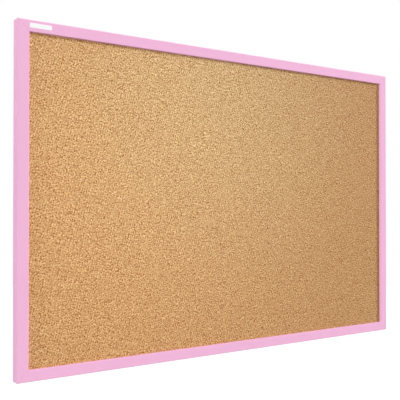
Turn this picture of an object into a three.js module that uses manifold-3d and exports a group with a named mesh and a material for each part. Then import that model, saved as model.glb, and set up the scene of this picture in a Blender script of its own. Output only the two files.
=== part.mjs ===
// A framed cork pin board for a wall: four mitred rails, a panel of cork on softboard
// and hardboard, the V-nails in its corners, the points that hold the panel in,
// and the two sawtooth hangers that it hangs by.
//
// Lengths are in millimetres. +Z is up, the front faces -Y and +X is to the right.
// The origin is the middle of the frame's back plane, where the board meets its wall.

import * as THREE from 'three';
import { mergeVertices, toCreasedNormals } from 'three/addons/utils/BufferGeometryUtils.js';
import Module from 'manifold-3d';

const wasm = await Module();
wasm.setup();

// The board

const boardWidth = 600;
const boardHeight = 400;

// Clearances: glued or touching faces, a fastener in its slot or hole, the loose panel

const seatGap = 0.1;
const fastenerGap = 0.2;
const panelPlay = 0.5;

// The panel, from front to back

const corkThickness = 1.5;
const coreThickness = 5.5;
const backingThickness = 2;

// The rail: a square moulding with a rebate behind its front lip

const wallWidth = 8.5;
const lipReach = 4.7;
const lipThickness = 3;
const backRecess = 1.7;
const frontEasing = 1.2;
const lipEasing = 0.8;
const backEasing = 0.5;

const panelThickness = corkThickness + coreThickness + backingThickness + 2 * seatGap;
const railFace = wallWidth + lipReach;
const railDepth = lipThickness + seatGap + panelThickness + backRecess;
const rebateDepth = railDepth - lipThickness;
const panelWidth = boardWidth - 2 * (wallWidth + panelPlay);
const panelHeight = boardHeight - 2 * (wallWidth + panelPlay);

// V-nails: a folded steel strip pressed in from the back, across the mitre

const vNailArm = 3.2;
const vNailSteel = 0.5;
const vNailHeight = 7;
const vNailSink = 0.3;
const vNailPlace_shares = [1 / 3, 2 / 3];

// Retaining points: flat pointed tabs, pushed into the rebate's wall behind the panel

const pointLength = 12;
const pointWidth = 6;
const pointSteel = 0.5;
const pointTip = 3;
const pointNotch = 0.8;
const pointNotchInset = 3;
const pointBite_share = 0.38;
const longRailPoint_shares = [-0.38, -0.14, 0.14, 0.38];
const shortRailPoint_shares = [-0.32, 0, 0.32];

// Sawtooth hangers: a steel strip with flat ends and a raised, toothed middle

const hangerSpan_share = 0.3;
const hangerLength = 45;
const hangerWidth = 7.5;
const hangerSteel = 0.8;
const hangerRise = 1.4;
const hangerTab = 7.5;
const hangerRamp = 3;
const hangerCorner = 1.6;
const toothCount = 9;
const toothDepth = 1.7;
const toothMargin = 0.6;

// Hanger nails: short round nails with a domed head

const nailShank = 1.3;
const nailHead = 3.2;
const nailHeadEdge = 0.4;
const nailHeadDome = 0.35;
const nailLength = 8;
const nailTip = 1.6;
const nailHole = nailShank + 2 * fastenerGap;

// How far a cutter reaches past what it cuts, and how finely curves are divided

const overrun = 2;
const arcSteps = 6;
const rampSteps = 8;
const roundSides = 20;
const creaseAngle = Math.PI / 5;
const quarterTurn = Math.PI / 2;

// Materials

const pinkPaint = new THREE.MeshStandardMaterial({ color: 0xf0b9d9, roughness: 0.42, metalness: 0 });
const cork = new THREE.MeshStandardMaterial({ color: 0xd2a673, roughness: 0.92, metalness: 0 });
const softboard = new THREE.MeshStandardMaterial({ color: 0xb59a76, roughness: 0.95, metalness: 0 });
const hardboard = new THREE.MeshStandardMaterial({ color: 0x8a6340, roughness: 0.7, metalness: 0 });
const zincSteel = new THREE.MeshStandardMaterial({ color: 0xbfc1c2, roughness: 0.35, metalness: 0.9 });
const darkSteel = new THREE.MeshStandardMaterial({ color: 0x8b8c8e, roughness: 0.45, metalness: 0.9 });

// Turns a closed geometry into a solid that can be cut.
function solidOf(geometry) {
  const bare = geometry.clone();
  bare.deleteAttribute('normal');
  bare.deleteAttribute('uv');
  const merged = mergeVertices(bare);
  return new wasm.Manifold(new wasm.Mesh({
    numProp: 3,
    vertProperties: new Float32Array(merged.attributes.position.array),
    triVerts: new Uint32Array(merged.index.array),
  }));
}

// Turns a cut solid back into a geometry, smooth over its small curves.
function geometryOf(solid) {
  const { vertProperties, triVerts } = solid.getMesh();
  const geometry = new THREE.BufferGeometry();
  geometry.setAttribute('position', new THREE.BufferAttribute(vertProperties, 3));
  geometry.setIndex(new THREE.BufferAttribute(triVerts, 1));
  return toCreasedNormals(geometry, creaseAngle);
}

function meshOf(name, geometry, material) {
  const mesh = new THREE.Mesh(geometry, material);
  mesh.name = name;
  return mesh;
}

// An outline through [x, y, radius] corners, each rounded by an arc of its radius.
function roundedOutline(corners) {
  const shape = new THREE.Shape();
  corners.forEach(([x, y, radius], index) => {
    const here = new THREE.Vector2(x, y);
    const before = corners.at(index - 1);
    const after = corners[(index + 1) % corners.length];
    const back = new THREE.Vector2(before[0], before[1]).sub(here).normalize();
    const ahead = new THREE.Vector2(after[0], after[1]).sub(here).normalize();
    const step = index === 0 ? 'moveTo' : 'lineTo';
    if (radius === 0) {
      shape[step](here.x, here.y);
      return;
    }
    const halfAngle = Math.acos(back.dot(ahead)) / 2;
    const start = here.clone().addScaledVector(back, radius / Math.tan(halfAngle));
    const end = here.clone().addScaledVector(ahead, radius / Math.tan(halfAngle));
    const middle = back.clone().add(ahead).normalize();
    const centre = here.clone().addScaledVector(middle, radius / Math.sin(halfAngle));
    shape[step](start.x, start.y);
    const from = start.sub(centre).angle();
    const to = end.sub(centre).angle();
    shape.absarc(centre.x, centre.y, radius, from, to, back.cross(ahead) > 0);
  });
  return shape;
}

// An outline of straight sides through [x, y] corners.
function straightOutline(corners) {
  return new THREE.Shape(corners.map(([x, y]) => new THREE.Vector2(x, y)));
}

// An outline drawn in the board's plane, given thickness from one depth to another.
function plateInBoardPlane(shape, fromY, toY) {
  const geometry = new THREE.ExtrudeGeometry(shape, {
    depth: toY - fromY,
    bevelEnabled: false,
    curveSegments: arcSteps,
  });
  geometry.rotateX(quarterTurn);
  geometry.translate(0, toY, 0);
  return geometry;
}

// Rails: the frame of reference is the rail's own. X runs along it, its outer edge
// is at Z = 0 with the board below, its back is at Y = 0 and its front at -railDepth.

function railSection(length) {
  const shape = roundedOutline([
    [0, 0, backEasing],
    [0, -railDepth, frontEasing],
    [railFace, -railDepth, lipEasing],
    [railFace, -rebateDepth, 0],
    [wallWidth, -rebateDepth, 0],
    [wallWidth, 0, backEasing],
  ]);
  const geometry = new THREE.ExtrudeGeometry(shape, {
    depth: length,
    bevelEnabled: false,
    curveSegments: arcSteps,
  });
  geometry.translate(0, 0, -length / 2);
  geometry.rotateY(quarterTurn);
  return geometry;
}

// The rail seen from the front: a strip whose two ends are cut at 45 degrees.
function mitredStrip(length) {
  const halfLength = length / 2 - seatGap * Math.SQRT1_2;
  const shape = straightOutline([
    [-halfLength - overrun, overrun],
    [-halfLength + railFace + overrun, -railFace - overrun],
    [halfLength - railFace - overrun, -railFace - overrun],
    [halfLength + overrun, overrun],
  ]);
  return plateInBoardPlane(shape, -railDepth - overrun, overrun);
}

// A V-nail's outline for a corner above and to the right of its fold, with its two
// arms along the two rails. The same outline, grown by the gap, cuts its slot.
function vNailOutline(grow) {
  const half = vNailSteel / 2 + grow;
  const reach = vNailArm + grow;
  return straightOutline([
    [half, half],
    [-reach, half],
    [-reach, -half],
    [-half, -half],
    [-half, -reach],
    [half, -reach],
  ]);
}

function vNailSlot() {
  return plateInBoardPlane(vNailOutline(fastenerGap), -vNailSink - vNailHeight - fastenerGap, overrun);
}

// A retaining point's outline with its tip at the top: two shoulders, straight
// sides, and a notch in each side where the driver catches it.
function pointOutline() {
  const half = pointWidth / 2;
  const notchAt = pointNotchInset - pointLength;
  const leftSide = [
    [-half, -pointTip],
    [-half, notchAt + pointNotch],
    [-half + pointNotch, notchAt],
    [-half, notchAt - pointNotch],
    [-half, -pointLength],
  ];
  const rightSide = leftSide.map(([x, y]) => [-x, y]).reverse();
  return straightOutline([[0, 0], ...leftSide, ...rightSide]);
}

// The slot for a point's tip: the same shoulders, grown by the gap.
function pointSlotOutline() {
  const half = pointWidth / 2 + fastenerGap;
  return straightOutline([
    [0, fastenerGap],
    [-half, -pointTip],
    [-half, -pointLength],
    [half, -pointLength],
    [half, -pointTip],
  ]);
}

// Where a point lies: just behind the backing sheet, its tip inside the rebate's wall.
const pointFront = -backRecess + seatGap;
const pointTipZ = -wallWidth * (1 - pointBite_share);

function retainingPoint() {
  return plateInBoardPlane(pointOutline(), pointFront, pointFront + pointSteel);
}

function pointSlot() {
  return plateInBoardPlane(
    pointSlotOutline(),
    pointFront - fastenerGap,
    pointFront + pointSteel + fastenerGap,
  );
}

// The hanger seen from behind: a strip with round corners and a saw edge below.
function hangerOutline() {
  const halfLength = hangerLength / 2;
  const halfWidth = hangerWidth / 2;
  const sawHalf = halfLength - hangerTab - hangerRamp - toothMargin;
  const toothPitch = (2 * sawHalf) / toothCount;
  const saw = [];
  for (let tooth = 0; tooth < toothCount; tooth += 1) {
    const left = -sawHalf + tooth * toothPitch;
    saw.push([left, -halfWidth, 0]);
    saw.push([left + toothPitch / 2, toothDepth - halfWidth, 0]);
  }
  saw.push([sawHalf, -halfWidth, 0]);
  return roundedOutline([
    [-halfLength, halfWidth, hangerCorner],
    [-halfLength, -halfWidth, hangerCorner],
    ...saw,
    [halfLength, -halfWidth, hangerCorner],
    [halfLength, halfWidth, hangerCorner],
  ]);
}

// The hanger seen from above: flat ends, two soft bends, and a middle that stands
// clear of the rail so that a nail's head fits behind it.
function hangerProfile() {
  const halfLength = hangerLength / 2;
  const rampStart = halfLength - hangerTab;
  const line = [[halfLength + overrun, seatGap]];
  for (let step = 0; step <= rampSteps; step += 1) {
    const along = step / rampSteps;
    const lift = (hangerRise * (1 - Math.cos(Math.PI * along))) / 2;
    line.push([rampStart - hangerRamp * along, seatGap + lift]);
  }
  const lower = [...line, ...line.map(([x, y]) => [-x, y]).reverse()];
  const upper = lower.map(([x, y]) => [x, y + hangerSteel]).reverse();
  return straightOutline([...lower, ...upper]);
}

function hangerNailPlaces() {
  const place = (hangerLength - hangerTab) / 2;
  return [-place, place];
}

function nailBore(x, z, fromY, toY) {
  const bore = new THREE.CylinderGeometry(nailHole / 2, nailHole / 2, toY - fromY, roundSides);
  bore.translate(x, (fromY + toY) / 2, z);
  return bore;
}

function sawtoothHanger() {
  const strip = new THREE.ExtrudeGeometry(hangerProfile(), {
    depth: hangerWidth + 2 * overrun,
    bevelEnabled: false,
  });
  strip.translate(0, 0, -hangerWidth / 2 - overrun);
  const outline = plateInBoardPlane(hangerOutline(), -overrun, hangerRise + hangerSteel + overrun);
  let hanger = solidOf(strip).intersect(solidOf(outline));
  for (const x of hangerNailPlaces()) {
    hanger = hanger.subtract(solidOf(nailBore(x, 0, -overrun, hangerSteel + overrun)));
  }
  return geometryOf(hanger);
}

// A nail with its point down the rail: tip, shank, flat-sided head and low dome.
function hangerNail() {
  const headSeat = seatGap + hangerSteel + seatGap;
  const tipY = headSeat - nailLength;
  const profile = [
    new THREE.Vector2(0, tipY),
    new THREE.Vector2(nailShank / 2, tipY + nailTip),
    new THREE.Vector2(nailShank / 2, headSeat),
    new THREE.Vector2(nailHead / 2, headSeat),
    new THREE.Vector2(nailHead / 2, headSeat + nailHeadEdge),
  ];
  for (let step = 1; step <= arcSteps; step += 1) {
    const angle = (quarterTurn * step) / arcSteps;
    const radius = (nailHead / 2) * Math.cos(angle);
    const height = headSeat + nailHeadEdge + nailHeadDome * Math.sin(angle);
    profile.push(new THREE.Vector2(step === arcSteps ? 0 : radius, height));
  }
  return new THREE.LatheGeometry(profile, roundSides);
}

// One rail with everything that is fixed in it, in the rail's own frame.
function railAssembly({ side, length, pointPlaces, hangerPlaces }) {
  const group = new THREE.Group();
  let rail = solidOf(railSection(length)).intersect(solidOf(mitredStrip(length)));

  for (const share of vNailPlace_shares) {
    const inset = wallWidth * share;
    for (const end of [-1, 1]) {
      const slot = vNailSlot();
      if (end < 0) slot.rotateY(-quarterTurn);
      slot.translate(end * (length / 2 - inset), 0, -inset);
      rail = rail.subtract(solidOf(slot));
    }
  }

  pointPlaces.forEach((x, index) => {
    const slot = pointSlot();
    slot.translate(x, 0, pointTipZ);
    rail = rail.subtract(solidOf(slot));
    const point = meshOf(`retaining_point_${side}_${index + 1}`, retainingPoint(), zincSteel);
    point.position.set(x, 0, pointTipZ);
    group.add(point);
  });

  for (const [name, x] of hangerPlaces) {
    const hanger = new THREE.Group();
    hanger.position.set(x, 0, -wallWidth / 2);
    hanger.add(meshOf(`sawtooth_hanger_${name}`, sawtoothHanger(), zincSteel));
    hangerNailPlaces().forEach((nailX, index) => {
      const depth = seatGap + hangerSteel + seatGap - nailLength - fastenerGap;
      rail = rail.subtract(solidOf(nailBore(x + nailX, -wallWidth / 2, depth, overrun)));
      const nail = meshOf(`hanger_nail_${name}_${index + 1}`, hangerNail(), zincSteel);
      nail.position.x = nailX;
      hanger.add(nail);
    });
    group.add(hanger);
  }

  group.add(meshOf(`${side}_rail`, geometryOf(rail), pinkPaint));
  return group;
}

// The two V-nails of one corner. The corner group is turned so that its own
// outward corner is above and to the right, as the outline is drawn.
function cornerVNails(name) {
  const group = new THREE.Group();
  const depthFrom = -vNailSink - vNailHeight;
  vNailPlace_shares.forEach((share, index) => {
    const inset = wallWidth * share;
    const strip = plateInBoardPlane(vNailOutline(0), depthFrom, -vNailSink);
    const nail = meshOf(`v_nail_${name}_${['outer', 'inner'][index]}`, strip, darkSteel);
    nail.position.set(-inset, 0, -inset);
    group.add(nail);
  });
  return group;
}

// The panel's three layers, from the lip back to the retaining points.
function panel() {
  const group = new THREE.Group();
  const layers = [
    ['cork_sheet', corkThickness, cork],
    ['softboard_core', coreThickness, softboard],
    ['backing_sheet', backingThickness, hardboard],
  ];
  let front = -rebateDepth + seatGap;
  for (const [name, thickness, material] of layers) {
    const layer = meshOf(name, new THREE.BoxGeometry(panelWidth, thickness, panelHeight), material);
    layer.position.y = front + thickness / 2;
    group.add(layer);
    front += thickness + seatGap;
  }
  return group;
}

// The whole board

const halfWidth = boardWidth / 2;
const halfHeight = boardHeight / 2;
const hangerX = boardWidth * hangerSpan_share;

const rails = [
  { side: 'top', length: boardWidth, turn: 0, at: [0, halfHeight] },
  { side: 'right', length: boardHeight, turn: 1, at: [halfWidth, 0] },
  { side: 'bottom', length: boardWidth, turn: 2, at: [0, -halfHeight] },
  { side: 'left', length: boardHeight, turn: 3, at: [-halfWidth, 0] },
];

const corners = [
  { name: 'top_right', turn: 0, at: [halfWidth, halfHeight] },
  { name: 'bottom_right', turn: 1, at: [halfWidth, -halfHeight] },
  { name: 'bottom_left', turn: 2, at: [-halfWidth, -halfHeight] },
  { name: 'top_left', turn: 3, at: [-halfWidth, halfHeight] },
];

const corkBoard = new THREE.Group();
corkBoard.add(panel());

for (const { side, length, turn, at } of rails) {
  const shares = length === boardWidth ? longRailPoint_shares : shortRailPoint_shares;
  const assembly = railAssembly({
    side,
    length,
    pointPlaces: shares.map((share) => share * length),
    hangerPlaces: side === 'top' ? [['left', -hangerX], ['right', hangerX]] : [],
  });
  assembly.rotation.y = quarterTurn * turn;
  assembly.position.set(at[0], 0, at[1]);
  corkBoard.add(assembly);
}

for (const { name, turn, at } of corners) {
  const vNails = cornerVNails(name);
  vNails.rotation.y = quarterTurn * turn;
  vNails.position.set(at[0], 0, at[1]);
  corkBoard.add(vNails);
}

export default corkBoard;
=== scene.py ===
# %% [markdown]
# # A framed cork board
# A cork board is a thin sheet of pressed cork on a soft core, held in a slim wooden
# frame. The solids of the board come ready made, so this lesson is about how it looks:
# the painted wood, the cork's grain, the pressed fibre of the back and the zinc steel
# of its fittings. Lengths are in metres, the front faces -Y and Z is up.

# %% Load the board
import math

import bmesh
import bpy
from mathutils import Matrix, Vector, noise


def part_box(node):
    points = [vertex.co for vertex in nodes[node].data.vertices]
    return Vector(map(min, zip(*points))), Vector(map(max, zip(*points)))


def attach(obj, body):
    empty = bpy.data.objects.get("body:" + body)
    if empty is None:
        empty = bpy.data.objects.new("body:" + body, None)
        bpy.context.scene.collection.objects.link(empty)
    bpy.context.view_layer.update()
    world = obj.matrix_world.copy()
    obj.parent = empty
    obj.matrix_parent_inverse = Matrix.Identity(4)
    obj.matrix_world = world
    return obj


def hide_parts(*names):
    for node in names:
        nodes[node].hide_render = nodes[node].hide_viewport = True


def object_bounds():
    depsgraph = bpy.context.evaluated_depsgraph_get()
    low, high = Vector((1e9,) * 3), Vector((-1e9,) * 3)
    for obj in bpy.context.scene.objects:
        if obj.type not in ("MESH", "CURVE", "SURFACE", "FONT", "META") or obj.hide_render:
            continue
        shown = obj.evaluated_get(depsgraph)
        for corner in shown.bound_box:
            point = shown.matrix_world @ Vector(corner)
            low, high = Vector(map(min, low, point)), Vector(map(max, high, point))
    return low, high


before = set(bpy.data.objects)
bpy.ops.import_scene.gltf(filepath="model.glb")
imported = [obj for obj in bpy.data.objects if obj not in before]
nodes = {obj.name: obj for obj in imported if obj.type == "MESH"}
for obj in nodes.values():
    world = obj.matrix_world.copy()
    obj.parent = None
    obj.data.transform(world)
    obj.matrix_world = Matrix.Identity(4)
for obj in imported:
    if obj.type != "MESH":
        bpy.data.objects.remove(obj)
solid_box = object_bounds()
MM = 0.001
solid_size = [round(side / MM, 1) for side in solid_box[1] - solid_box[0]]
print("solids:", len(nodes), "size in mm:", solid_size)

# %% [markdown]
# ## Tools for finishes
# Every finish is a small tree of nodes. Adding a node, setting its sockets and linking
# it takes three or four lines each time, so one helper does all three: a socket that is
# given another node's output is linked, and any other value is written on it.
# Patterns are laid out in Object coordinates. The pieces sit at the origin, unturned,
# so these are the board's own metres, and grain a millimetre wide stays a millimetre.

# %% Helpers for node trees
def add(tree, kind, sockets=(), **settings):
    made = tree.nodes.new(kind)
    for key, value in settings.items():
        setattr(made, key, value)
    for key, value in dict(sockets).items():
        if isinstance(value, bpy.types.NodeSocket):
            tree.links.new(value, made.inputs[key])
        else:
            made.inputs[key].default_value = value
    return made


def new_finish(name, **values):
    """A material with one Principled shader, and the place of the surface in metres."""
    material = bpy.data.materials.new(name)
    material.use_nodes = True
    tree = material.node_tree
    shader = tree.nodes["Principled BSDF"]
    for key, value in values.items():
        shader.inputs[key.replace("_", " ")].default_value = value
    place = add(tree, "ShaderNodeTexCoord").outputs["Object"]
    return material, tree, shader, place


def calc(tree, operation, first, second=0.0):
    return add(tree, "ShaderNodeMath", {0: first, 1: second}, operation=operation).outputs[0]


def between(tree, value, low, high, to_low=0.0, to_high=1.0, curve="SMOOTHSTEP"):
    """Turns low..high into to_low..to_high, easing in and out unless curve is LINEAR."""
    sockets = {"Value": value, "From Min": low, "From Max": high,
               "To Min": to_low, "To Max": to_high}
    return add(tree, "ShaderNodeMapRange", sockets, interpolation_type=curve).outputs["Result"]


def ramp(tree, value, stops):
    """Turns a value from 0 to 1 into a colour; each stop is a value and its colour."""
    made = add(tree, "ShaderNodeValToRGB", {"Fac": value})
    elements = made.color_ramp.elements
    while len(elements) < len(stops):
        elements.new(0.5)
    for element, (position, colour) in zip(elements, stops):
        element.position = position
        element.color = (*colour, 1)
    return made.outputs["Color"]


def blend(tree, share, first, second, how="MIX"):
    """Mixes two colours; each may be written out or come from another node."""
    made = add(tree, "ShaderNodeMix", data_type="RGBA", blend_type=how)
    for index, value in ((0, share), (6, first), (7, second)):
        if isinstance(value, bpy.types.NodeSocket):
            tree.links.new(value, made.inputs[index])
        else:
            made.inputs[index].default_value = value if index == 0 else (*value, 1)
    return made.outputs[2]


def grey(tree, value):
    return add(tree, "ShaderNodeCombineColor", {0: value, 1: value, 2: value}).outputs[0]


def channel(tree, colour, index=0):
    return add(tree, "ShaderNodeSeparateColor", {0: colour}).outputs[index]


def point_math(tree, operation, first, second, output="Vector"):
    sockets = {0: first, 1: second}
    return add(tree, "ShaderNodeVectorMath", sockets, operation=operation).outputs[output]


def stretched(tree, place, scale):
    return add(tree, "ShaderNodeMapping", {"Vector": place, "Scale": scale}).outputs["Vector"]


def clouds(tree, place, scale, detail=2.0, roughness=0.5):
    sockets = {"Vector": place, "Scale": scale, "Detail": detail, "Roughness": roughness}
    return add(tree, "ShaderNodeTexNoise", sockets).outputs["Fac"]


def cells(tree, place, scale, dimensions="3D"):
    """Voronoi cells: a random colour for each, and how far a point is from its middle."""
    made = add(tree, "ShaderNodeTexVoronoi", {"Vector": place, "Scale": scale},
               voronoi_dimensions=dimensions)
    return made.outputs["Color"], made.outputs["Distance"]


def bumps(tree, shader, *layers):
    """Stacks relief: each layer is a height from 0 to 1 and how deep it is in metres."""
    normal = None
    for height, depth in layers:
        sockets = {"Height": height, "Distance": depth, "Strength": 1.0}
        if normal is not None:
            sockets["Normal"] = normal
        normal = add(tree, "ShaderNodeBump", sockets).outputs["Normal"]
    tree.links.new(normal, shader.inputs["Normal"])


def in_order(shape):
    """Sorts points by place and faces by points, since an extrusion's own order can vary."""
    for index, point in enumerate(sorted(shape.verts, key=lambda point: tuple(point.co))):
        point.index = index
    shape.verts.sort()
    by_points = sorted(shape.faces, key=lambda face: sorted(point.index for point in face.verts))
    for index, face in enumerate(by_points):
        face.index = index
    shape.faces.sort()


def dress(material, *names):
    """Gives CAD nodes whose names start with one of these words their finish."""
    found = [piece for name, piece in nodes.items() if name.startswith(names)]
    for piece in found:
        piece.data.materials.clear()
        piece.data.materials.append(material)
    print(material.name, "on", len(found), "pieces")


# %% [markdown]
# ## The camera
# The board is seen from its left, at the height of its middle, so that its left end is
# near and large and its right end small. The camera stands about 94 cm away and is
# turned 35 degrees to the right. A 63 mm lens keeps the strong but calm perspective.

# %% Place the camera
camera = bpy.data.objects.new("camera", bpy.data.cameras.new("camera"))
bpy.context.scene.collection.objects.link(camera)
camera.location = (-0.5675, -0.7506, -0.0084)
camera.rotation_euler = (math.radians(90.66), 0, math.radians(-34.67))
camera.data.lens = 62.57
camera.data.sensor_width = 36
camera.data.clip_start = 0.01
bpy.context.scene.camera = camera
print("camera stands", round(camera.location.length, 3), "m from the board's middle")

# %% [markdown]
# ## Floor, backdrop and light
# The board hangs in front of plain white. A world that is white only for the camera and
# for reflections gives that backdrop, and lights the board with a softer grey, so that
# its own colours come out as they are written. The floor lies well below the board and
# is lifted to white for the camera, but it still takes the board's shadow. World and
# floor use the same test for rays that only show a surface and don't light anything.
#
# The main light grazes the board from the upper right, so the frame's top lip and right
# lip throw thin shadows on the sunken cork. A weak fill from the front keeps those
# shadows soft. A third light comes flat from the left and brings up the frame's outer
# side, and a fourth stands behind, for whoever turns the board round. All four are
# distant and soft, so every part of the board gets the same light.

# %% Make the world and the floor
scene = bpy.context.scene
scene.view_settings.view_transform = "Standard"
AMBIENT = 0.13
FLOOR_DEPTH, FLOOR_REACH = 0.75, 6
FLOOR_COLOUR, FLOOR_GLOW = (0.46, 0.46, 0.46, 1), 0.68


def only_shows(tree):
    """1 for rays of the camera, of mirrors and of glass, 0 for rays that carry light."""
    rays = add(tree, "ShaderNodeLightPath").outputs
    seen = calc(tree, "MAXIMUM", rays["Is Camera Ray"], rays["Is Glossy Ray"])
    return calc(tree, "MAXIMUM", seen, rays["Is Transmission Ray"])


world = bpy.data.worlds.new("studio")
world.use_nodes = True
scene.world = world
tree = world.node_tree
strength = between(tree, only_shows(tree), 0, 1, AMBIENT, 1, "LINEAR")
tree.links.new(strength, tree.nodes["Background"].inputs["Strength"])
tree.nodes["Background"].inputs["Color"].default_value = (1, 1, 1, 1)

floor_mesh = bmesh.new()
bmesh.ops.create_circle(floor_mesh, cap_ends=True, radius=FLOOR_REACH, segments=96)
floor_data = bpy.data.meshes.new("floor")
floor_mesh.to_mesh(floor_data)
floor_mesh.free()
floor_data.transform(Matrix.Translation((0, 0, -FLOOR_DEPTH)))
floor = bpy.data.objects.new("floor", floor_data)
scene.collection.objects.link(floor)

floor_finish, tree, shader, place = new_finish("pale_floor", Roughness=0.9,
                                               Base_Color=FLOOR_COLOUR, Emission_Color=(1, 1, 1, 1))
glow = calc(tree, "MULTIPLY", only_shows(tree), FLOOR_GLOW)
tree.links.new(glow, shader.inputs["Emission Strength"])
floor_data.materials.append(floor_finish)
print("floor lies", FLOOR_DEPTH, "m below the board's middle")


# %% Hang the lights
def soft_light(name, towards, level, spread):
    """A distant light, spread in degrees; level is what it adds to white that faces it."""
    lamp = bpy.data.lights.new(name, "SUN")
    lamp.energy = level * math.pi
    lamp.angle = math.radians(spread)
    piece = bpy.data.objects.new(name, lamp)
    piece.rotation_euler = Vector(towards).to_track_quat("Z", "Y").to_euler()
    scene.collection.objects.link(piece)


soft_light("main_light", (0.82, -0.42, 0.47), 1.18, 20)
soft_light("fill_light", (-0.45, -0.89, 0.10), 0.205, 40)
soft_light("side_light", (-0.98, -0.18, 0.06), 0.57, 20)
soft_light("back_light", (0.0, 0.97, 0.25), 0.80, 8)

# %% [markdown]
# ## The painted rails
# The four rails are one wooden moulding, sprayed pink before or after it is mitred. Two
# coats don't hide the wood altogether: its grain shows as faint long ripples along
# each rail, under the fine orange peel that spray leaves. Mouldings are sprayed from
# the front, so the back and the rebate stay bare wood, with a ragged edge of paint
# where the spray went round the corner. The outer front edge is painted paler: partly
# wear, since spray draws back from an edge and hands rub it, and partly painted light
# that fills the shade the rounded edge gets between the front and the side.
#
# The grain must run along each rail. One tree could turn it by the surface's place, but
# two finishes are easier to read: one for the lying rails and one for the upright
# ones, made by the same function.

# %% Paint the rails
PAINT = (0.855, 0.463, 0.680)
# The paler pink of the outer front edge: worn paint, and painted light on its rounding.
WORN_AND_LIT_PAINT = (0.96, 0.56, 0.77)
rail_low, rail_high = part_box("left_rail")
HALF_WIDTH, HALF_HEIGHT = -rail_low.x, rail_high.z
RAIL_DEPTH = rail_high.y - rail_low.y
WALL_WIDTH, REBATE_DEPTH = 0.0085, 0.011
ACROSS_GRAIN, ACROSS_FIBRE = 22.0, 60.0
SPRAY_RAGGED = 0.0013


def painted_wood(name, along):
    material, tree, shader, place = new_finish(name, Roughness=0.6, Specular_IOR_Level=0.08)
    long_scale = [1.0 if axis == along else ACROSS_GRAIN for axis in "XYZ"]
    fibre_scale = [1.0 if axis == along else ACROSS_FIBRE for axis in "XYZ"]
    grain = clouds(tree, stretched(tree, place, long_scale), 24, 4, 0.6)
    fibre = clouds(tree, stretched(tree, place, fibre_scale), 45, 3, 0.6)
    peel = clouds(tree, place, 950, 2, 0.45)
    broad = clouds(tree, place, 14, 2)

    # How far a point is in from the board's outer edge, in the board's plane.
    across = add(tree, "ShaderNodeSeparateXYZ", {"Vector": place}).outputs
    from_side = calc(tree, "SUBTRACT", HALF_WIDTH, calc(tree, "ABSOLUTE", across["X"]))
    from_top = calc(tree, "SUBTRACT", HALF_HEIGHT, calc(tree, "ABSOLUTE", across["Z"]))
    inset = calc(tree, "MINIMUM", from_side, from_top)

    shade = between(tree, calc(tree, "ADD", grain, broad), 0.7, 1.3, 0.985, 1.015, "LINEAR")
    paint = blend(tree, 1.0, PAINT, grey(tree, shade), "MULTIPLY")

    # The paler outer front edge: a thin, worn coat there, and painted light that fills the shade on
    # the rounded edge.
    from_front = calc(tree, "ADD", across["Y"], RAIL_DEPTH)
    from_edge = calc(tree, "MAXIMUM", inset, from_front)
    paint = blend(tree, between(tree, from_edge, 0.0004, 0.0012, 1, 0), paint, WORN_AND_LIT_PAINT)

    # Bare wood on the back and in the rebate.
    streaks = calc(tree, "MULTIPLY", fibre, 0.3)
    streaks = calc(tree, "ADD", calc(tree, "MULTIPLY", grain, 0.7), streaks)
    bare = ramp(tree, streaks, [(0.3, (0.42, 0.27, 0.14)),
                                (0.5, (0.60, 0.43, 0.25)),
                                (0.7, (0.70, 0.53, 0.33))])
    sprayed_round = calc(tree, "MULTIPLY", clouds(tree, place, 380, 4, 0.7), SPRAY_RAGGED)
    at_back = between(tree, calc(tree, "ADD", across["Y"], sprayed_round), 0.0001, 0.0004)
    past_wall = between(tree, inset, WALL_WIDTH - 0.0002, WALL_WIDTH - 0.0001)
    behind_lip = between(tree, across["Y"], -REBATE_DEPTH - 0.0002, -REBATE_DEPTH + 0.0001)
    is_bare = calc(tree, "MAXIMUM", at_back, calc(tree, "MULTIPLY", past_wall, behind_lip))
    tree.links.new(blend(tree, is_bare, paint, bare), shader.inputs["Base Color"])

    rough = between(tree, peel, 0.3, 0.7, 0.55, 0.65)
    rough = add(tree, "ShaderNodeMix", {0: is_bare, 2: rough, 3: 0.8}).outputs[0]
    tree.links.new(rough, shader.inputs["Roughness"])
    bumps(tree, shader, (grain, 0.00006), (fibre, 0.00003), (peel, 0.00002))
    return material


dress(painted_wood("pink_paint_lying", "X"), "top_rail", "bottom_rail")
dress(painted_wood("pink_paint_upright", "Z"), "left_rail", "right_rail")
print("rail depth in mm:", round(RAIL_DEPTH / MM, 2))

# %% [markdown]
# ## The cork sheet
# Agglomerated cork is ground bark, pressed with a little glue and sliced. Sanding
# leaves it flat but for small open pits where a granule broke out. The solid is a
# plain slab, so a new sheet takes its place: a fine grid whose points sink into pits
# by a noise that always gives the same result, and whose rim is drawn back and closed.
# A Displace modifier would do it too, but the lip needs the rim flat, and a few lines
# of noise can fade it there. At the end, points and faces are put in a fixed order, so
# that the mesh comes out the same in every run, down to the order of its triangles.

# %% Model the cork sheet
low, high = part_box("cork_sheet")
GRID = 0.00175
PIT_DEPTH, UNEVEN_DEPTH = 0.00018, 0.00003
WIDE_PITS, NARROW_PITS, UNEVEN = 330, 610, 45
RIM = 0.006


def pit_depth(point):
    """How deep the sheet's face lies at a point: pits, and a faint unevenness."""
    pits = noise.noise(point * WIDE_PITS) * 0.6 + noise.noise(point * NARROW_PITS) * 0.4
    uneven = 0.5 + 0.5 * noise.noise(point * UNEVEN)
    to_rim = min(point.x - low.x, high.x - point.x, point.z - low.z, high.z - point.z)
    fade = min(1.0, max(0.0, (to_rim - RIM / 2) / RIM))
    return fade * (PIT_DEPTH * max(0.0, pits - 0.12) * 2.2 + UNEVEN_DEPTH * uneven)


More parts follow.
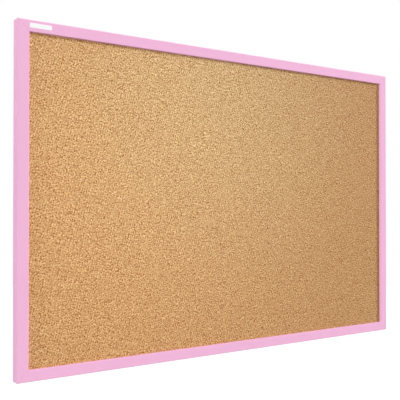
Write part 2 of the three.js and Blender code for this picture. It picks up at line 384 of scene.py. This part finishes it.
sheet_width, sheet_height = high.x - low.x, high.z - low.z
sheet = bmesh.new()
bmesh.ops.create_grid(sheet, x_segments=round(sheet_width / GRID),
                      y_segments=round(sheet_height / GRID), size=0.5)
bmesh.ops.scale(sheet, vec=(sheet_width, sheet_height, 1), verts=sheet.verts)
bmesh.ops.rotate(sheet, matrix=Matrix.Rotation(math.pi / 2, 3, "X"), verts=sheet.verts)
bmesh.ops.translate(sheet, vec=(0, low.y, 0), verts=sheet.verts)
for point in sheet.verts:
    point.co.y += pit_depth(point.co.copy())
rim = [edge for edge in sheet.edges if edge.is_boundary]
drawn = bmesh.ops.extrude_edge_only(sheet, edges=rim)["geom"]
for point in (item for item in drawn if isinstance(item, bmesh.types.BMVert)):
    point.co.y = high.y
back_rim = [edge for edge in sheet.edges if edge.is_boundary]
bmesh.ops.edgeloop_fill(sheet, edges=back_rim)
bmesh.ops.recalc_face_normals(sheet, faces=sheet.faces)
in_order(sheet)
cork_data = bpy.data.meshes.new("cork_face")
sheet.to_mesh(cork_data)
sheet.free()
cork_face = bpy.data.objects.new("cork_face", cork_data)
scene.collection.objects.link(cork_face)
for face in cork_data.polygons:
    face.use_smooth = abs(face.normal.y) > 0.7 and len(face.vertices) == 4
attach(cork_face, "root")
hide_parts("cork_sheet")
print("cork sheet:", len(cork_data.polygons), "faces")

# %% [markdown]
# Cork is never one brown. Ground bark is a mix of sizes: large granules, smaller chips
# between them and crumbs in all the gaps, each with its own tone from pale straw to
# dark bark. Voronoi cells are made for that, because each cell has a flat random value.
# A granule is also darker or paler round its edge than in its middle, so its random
# value is multiplied by a fall-off from the middle outwards, which goes from plus to
# minus. That keeps the granules from adding up to blotches, since each one's middle and
# edge nearly cancel out when seen from afar. The chips keep a little of their tone, so
# that the far end of the sheet isn't smooth. The points are first moved a little by
# noise, so that the cells look like ground bark and not like tiles.
#
# All layers are added up to one tone first, and a single ramp then turns that tone into
# cork colours, so that no speck comes out green or grey. The sheet is also paler towards
# its left and yellower towards the top, a slow change that runs over the whole face.

# %% Colour the cork
GRANULE, CHIP, CRUMB = 0.0030, 0.0016, 0.0005
MOVED = 0.0003
BARK, CORK, STRAW = (0.33, 0.095, 0.0), (0.719, 0.448, 0.203), (1.0, 0.80, 0.445)
MIDDLE_TONE, TONE_REACH, CRUMB_TONE, FINE_TONE = 0.5, 0.215, 0.13, 0.04
PALE_SPOT, PALE_REACH, FAR_DARKNESS = (-0.216, low.y, 0.037), 0.533, 0.25
YELLOW_SPOT, YELLOW_REACH, BROWN_TINT = (-0.02, low.y, 0.171), 0.38, (0.95, 0.81, 0.72)
WHITE, BLACK = (1.0, 1.0, 1.0), (0.0, 0.0, 0.0)

cork_finish, tree, shader, place = new_finish("pressed_cork", Roughness=0.9,
                                              Specular_IOR_Level=0.2)
drift = add(tree, "ShaderNodeTexNoise", {"Vector": place, "Scale": 900, "Detail": 1.0})
drift = point_math(tree, "SUBTRACT", drift.outputs["Color"], (0.5, 0.5, 0.5))
drift = point_math(tree, "MULTIPLY", drift, (MOVED, MOVED, MOVED))
moved = point_math(tree, "ADD", place, drift)
fine = clouds(tree, place, 3200, 2, 0.7)


def bark_pieces(size, turn, middle, edge):
    """A layer of ground bark: its tone, and how far a point is from a piece's middle."""
    turned = {"Vector": moved, "Rotation": (math.pi / 2, 0, math.radians(turn))}
    flat = add(tree, "ShaderNodeMapping", turned).outputs["Vector"]
    colours, outwards = cells(tree, flat, 1 / size, "2D")
    own = between(tree, channel(tree, colours), 0, 1, -1, 1, "LINEAR")
    return calc(tree, "MULTIPLY", own, between(tree, outwards, 0.1, 0.75, middle, edge)), outwards


crumbs = channel(tree, cells(tree, moved, 1 / CRUMB)[0], 1)
granule_tone = bark_pieces(GRANULE, -14, 0.18, -0.18)[0]
chip_tone, from_chip = bark_pieces(CHIP, 27, 0.21, -0.10)
tone = between(tree, crumbs, 0, 1, MIDDLE_TONE - CRUMB_TONE, MIDDLE_TONE + CRUMB_TONE, "LINEAR")
tone = calc(tree, "ADD", tone, calc(tree, "ADD", granule_tone, chip_tone))
tone = calc(tree, "ADD", tone, between(tree, fine, 0.3, 0.7, -FINE_TONE, FINE_TONE, "LINEAR"))
colour = ramp(tree, tone, [(MIDDLE_TONE - TONE_REACH, BARK),
                           (MIDDLE_TONE, CORK),
                           (MIDDLE_TONE + TONE_REACH, STRAW)])

from_pale = point_math(tree, "DISTANCE", place, PALE_SPOT, "Value")
from_yellow = point_math(tree, "DISTANCE", place, YELLOW_SPOT, "Value")
darker = between(tree, from_pale, 0.0, PALE_REACH, 0.0, FAR_DARKNESS)
tint = blend(tree, between(tree, from_yellow, 0.0, YELLOW_REACH), WHITE, BROWN_TINT)
colour = blend(tree, darker, colour, BLACK)
tree.links.new(blend(tree, 1.0, colour, tint, "MULTIPLY"), shader.inputs["Base Color"])
bumps(tree, shader, (between(tree, from_chip, 0.4, 0.8, 1, 0), 0.00002), (fine, 0.00003))
cork_data.materials.append(cork_finish)
print("granules", GRANULE / MM, "mm, chips", CHIP / MM, "mm, crumbs", CRUMB / MM, "mm")

# %% [markdown]
# ## The sticker
# A small white paper sticker is on the top rail, near its left end. It is left blank.
# A sticker is thin but not flat paint: it has an edge that catches a little shade, and
# its corners are cut with a small radius. It starts as one face, gets its corners by
# a bevel of its four points, and is then drawn forward by a tenth of a millimetre.

# %% Model the sticker
STICKER_WIDTH, STICKER_HEIGHT, STICKER_THICK = 0.026, 0.0054, 0.00012
STICKER_MIDDLE = (-0.2736, -RAIL_DEPTH, 0.1939)
STICKER_CORNER = 0.0005

paper = bmesh.new()
bmesh.ops.create_grid(paper, x_segments=1, y_segments=1, size=0.5)
bmesh.ops.scale(paper, vec=(STICKER_WIDTH, STICKER_HEIGHT, 1), verts=paper.verts)
bmesh.ops.bevel(paper, geom=paper.verts[:], offset=STICKER_CORNER, offset_type="OFFSET",
                affect="VERTICES", segments=4, profile=0.5, material=-1)
bmesh.ops.rotate(paper, matrix=Matrix.Rotation(math.pi / 2, 3, "X"), verts=paper.verts)
bmesh.ops.translate(paper, vec=STICKER_MIDDLE, verts=paper.verts)
drawn = bmesh.ops.extrude_face_region(paper, geom=paper.faces[:])["geom"]
bmesh.ops.translate(paper, vec=(0, -STICKER_THICK, 0),
                    verts=[item for item in drawn if isinstance(item, bmesh.types.BMVert)])
bmesh.ops.recalc_face_normals(paper, faces=paper.faces)
in_order(paper)
sticker_data = bpy.data.meshes.new("sticker")
paper.to_mesh(sticker_data)
paper.free()
sticker = bpy.data.objects.new("sticker", sticker_data)
scene.collection.objects.link(sticker)
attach(sticker, "root")

sticker_finish, tree, shader, place = new_finish("sticker_paper", Roughness=0.5)
fibres = clouds(tree, place, 2600, 3, 0.6)
tree.links.new(ramp(tree, fibres, [(0.3, (0.86, 0.855, 0.86)), (0.7, (0.92, 0.915, 0.92))]),
               shader.inputs["Base Color"])
tree.links.new(between(tree, fibres, 0.3, 0.7, 0.45, 0.6), shader.inputs["Roughness"])
bumps(tree, shader, (fibres, 0.000008))
sticker_data.materials.append(sticker_finish)
print("sticker:", round(STICKER_WIDTH / MM, 1), "mm wide")

# %% [markdown]
# ## The core and the backing
# Behind the cork lies softboard, felted wood fibre, and behind that a thin hardboard
# sheet, which is what the back of the board shows. The rough side of hardboard bears
# the weave of the wire screen that it was pressed on, a fine grid over mottled fibre.
# Two sets of waves, one along and one up, make the grid; noise breaks it up. A wave
# texture repeats every pi / (10 x scale) metres, so its scale comes from the pitch.

# %% Finish the softboard and the hardboard
soft_finish, tree, shader, place = new_finish("softboard_fibre", Roughness=0.95)
felt = clouds(tree, place, 700, 5, 0.7)
felt_brown = ramp(tree, felt, [(0.3, (0.30, 0.20, 0.11)), (0.7, (0.55, 0.40, 0.24))])
tree.links.new(felt_brown, shader.inputs["Base Color"])
bumps(tree, shader, (felt, 0.0002))
dress(soft_finish, "softboard_core")

SCREEN_PITCH = 0.0018

hard_finish, tree, shader, place = new_finish("hardboard_screen_side", Roughness=0.75)
mottle = clouds(tree, place, 24, 5, 0.7)
fibre = clouds(tree, place, 1500, 4, 0.75)
splinters = clouds(tree, stretched(tree, place, (1.0, 1.0, 9.0)), 190, 3, 0.7)
wires = {"Vector": place, "Scale": math.pi / (10 * SCREEN_PITCH), "Distortion": 1.4,
         "Detail": 2.0, "Detail Scale": 1.2}
along, up = [add(tree, "ShaderNodeTexWave", wires, bands_direction=direction).outputs["Fac"]
             for direction in ("X", "Z")]
screen = calc(tree, "MULTIPLY", along, up)
tone = calc(tree, "ADD", calc(tree, "MULTIPLY", mottle, 0.35), calc(tree, "MULTIPLY", fibre, 0.4))
tone = calc(tree, "ADD", tone, calc(tree, "MULTIPLY", splinters, 0.25))
brown = ramp(tree, tone, [(0.33, (0.125, 0.060, 0.024)),
                          (0.5, (0.225, 0.116, 0.049)),
                          (0.67, (0.36, 0.205, 0.095))])
dark = grey(tree, between(tree, screen, 0.0, 0.7, 0.72, 1.10, "LINEAR"))
tree.links.new(blend(tree, 1.0, brown, dark, "MULTIPLY"), shader.inputs["Base Color"])
tree.links.new(between(tree, fibre, 0.3, 0.7, 0.65, 0.85), shader.inputs["Roughness"])
bumps(tree, shader, (screen, 0.00016), (fibre, 0.00006), (splinters, 0.00006))
dress(hard_finish, "backing_sheet")

# %% [markdown]
# ## The fittings
# The hangers, their nails and the retaining points are zinc-plated steel. Zinc is a
# bluish grey, soft in its shine, with faint crystals and the fine lines of rolling.
# The V-nails are dark, oiled steel.


# %% Finish the steel
def steel(name, bright, dull, roughness):
    material, tree, shader, place = new_finish(name, Metallic=1.0)
    crystals = channel(tree, cells(tree, place, 520)[0])
    rolled = clouds(tree, stretched(tree, place, (1.0, 1.0, 30.0)), 160, 3, 0.6)
    stain = clouds(tree, place, 240, 3, 0.6)
    spangle = calc(tree, "MULTIPLY", crystals, 0.25)
    tone = calc(tree, "ADD", spangle, calc(tree, "MULTIPLY", stain, 0.75))
    rough = between(tree, tone, 0.2, 0.8, roughness + 0.12, roughness - 0.06)
    tree.links.new(ramp(tree, tone, [(0.2, dull), (0.8, bright)]), shader.inputs["Base Color"])
    tree.links.new(rough, shader.inputs["Roughness"])
    bumps(tree, shader, (rolled, 0.00001), (stain, 0.00002))
    return material


zinc_plate = steel("zinc_plate", (0.386, 0.397, 0.412), (0.212, 0.221, 0.235), 0.60)
oiled_steel = steel("oiled_steel", (0.30, 0.30, 0.31), (0.12, 0.12, 0.125), 0.42)
dress(zinc_plate, "sawtooth_hanger", "hanger_nail", "retaining_point")
dress(oiled_steel, "v_nail")

# %% Update the scene
bpy.context.view_layer.update()
